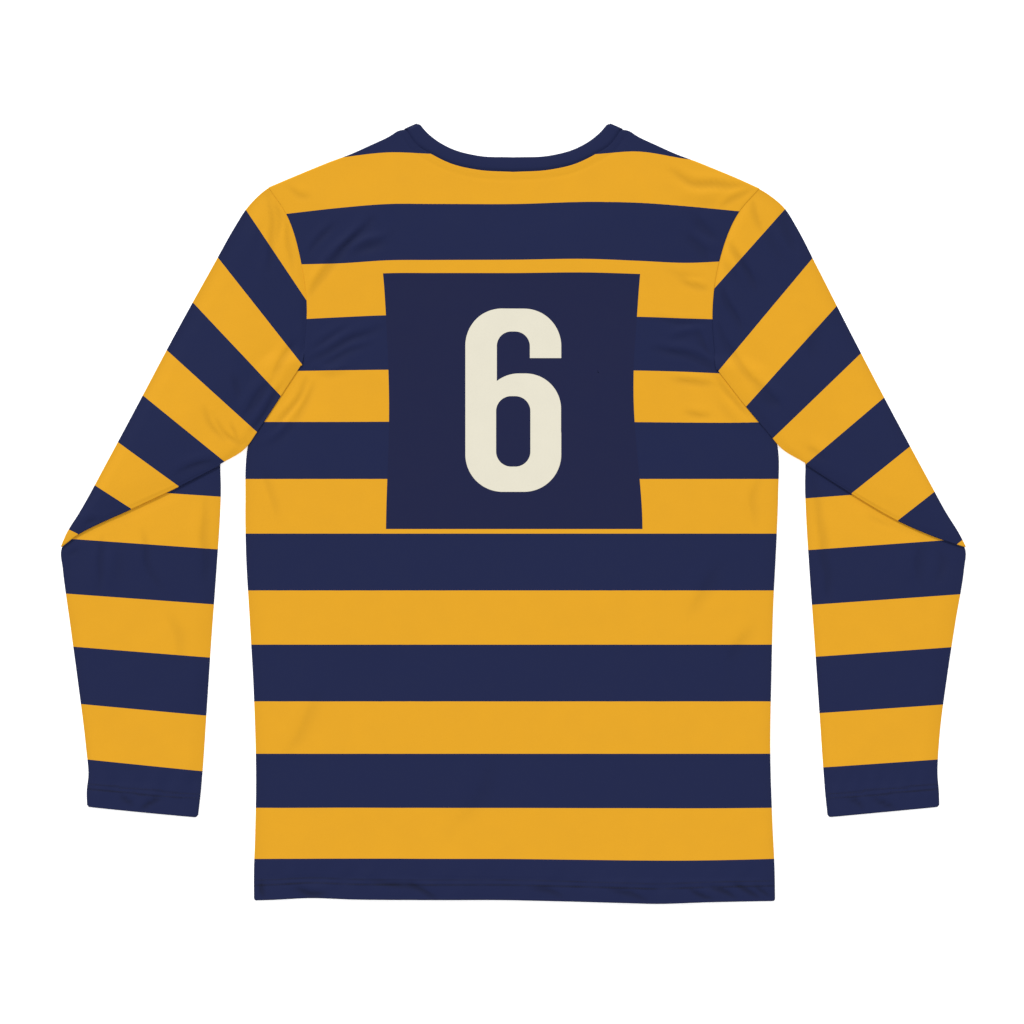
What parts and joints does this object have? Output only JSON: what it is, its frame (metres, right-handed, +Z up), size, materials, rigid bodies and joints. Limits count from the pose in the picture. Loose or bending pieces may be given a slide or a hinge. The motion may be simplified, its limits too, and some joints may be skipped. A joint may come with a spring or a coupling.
{
  "type": "sports jersey",
  "caption": "Long-sleeved crew-neck sports jersey in navy and gold hoops, laid flat with its back uppermost and its sleeves folded down at the elbows.",
  "frame": {"origin": "on the surface that the jersey lies on, under the middle of its outline", "axes": "+X towards the wearer's right sleeve, +Y from the hem to the neck, +Z up from the surface out of the jersey's back"},
  "size_m": [0.87, 0.7493, 0.0117],
  "materials": {
    "hooped_knit": "smooth polyester jersey knit with a slight sheen, printed in gold and navy hoops",
    "sleeve_knit": "smooth polyester jersey knit with a slight sheen, printed in gold and navy hoops",
    "binding_knit": "smooth navy polyester jersey knit with a slight sheen"
  },
  "bodies": {
    "root": {"front": "hooped_knit", "back": "hooped_knit", "sleeve_left": "sleeve_knit", "sleeve_right": "sleeve_knit", "neck_binding": "binding_knit"}
  },
  "joints": []
}
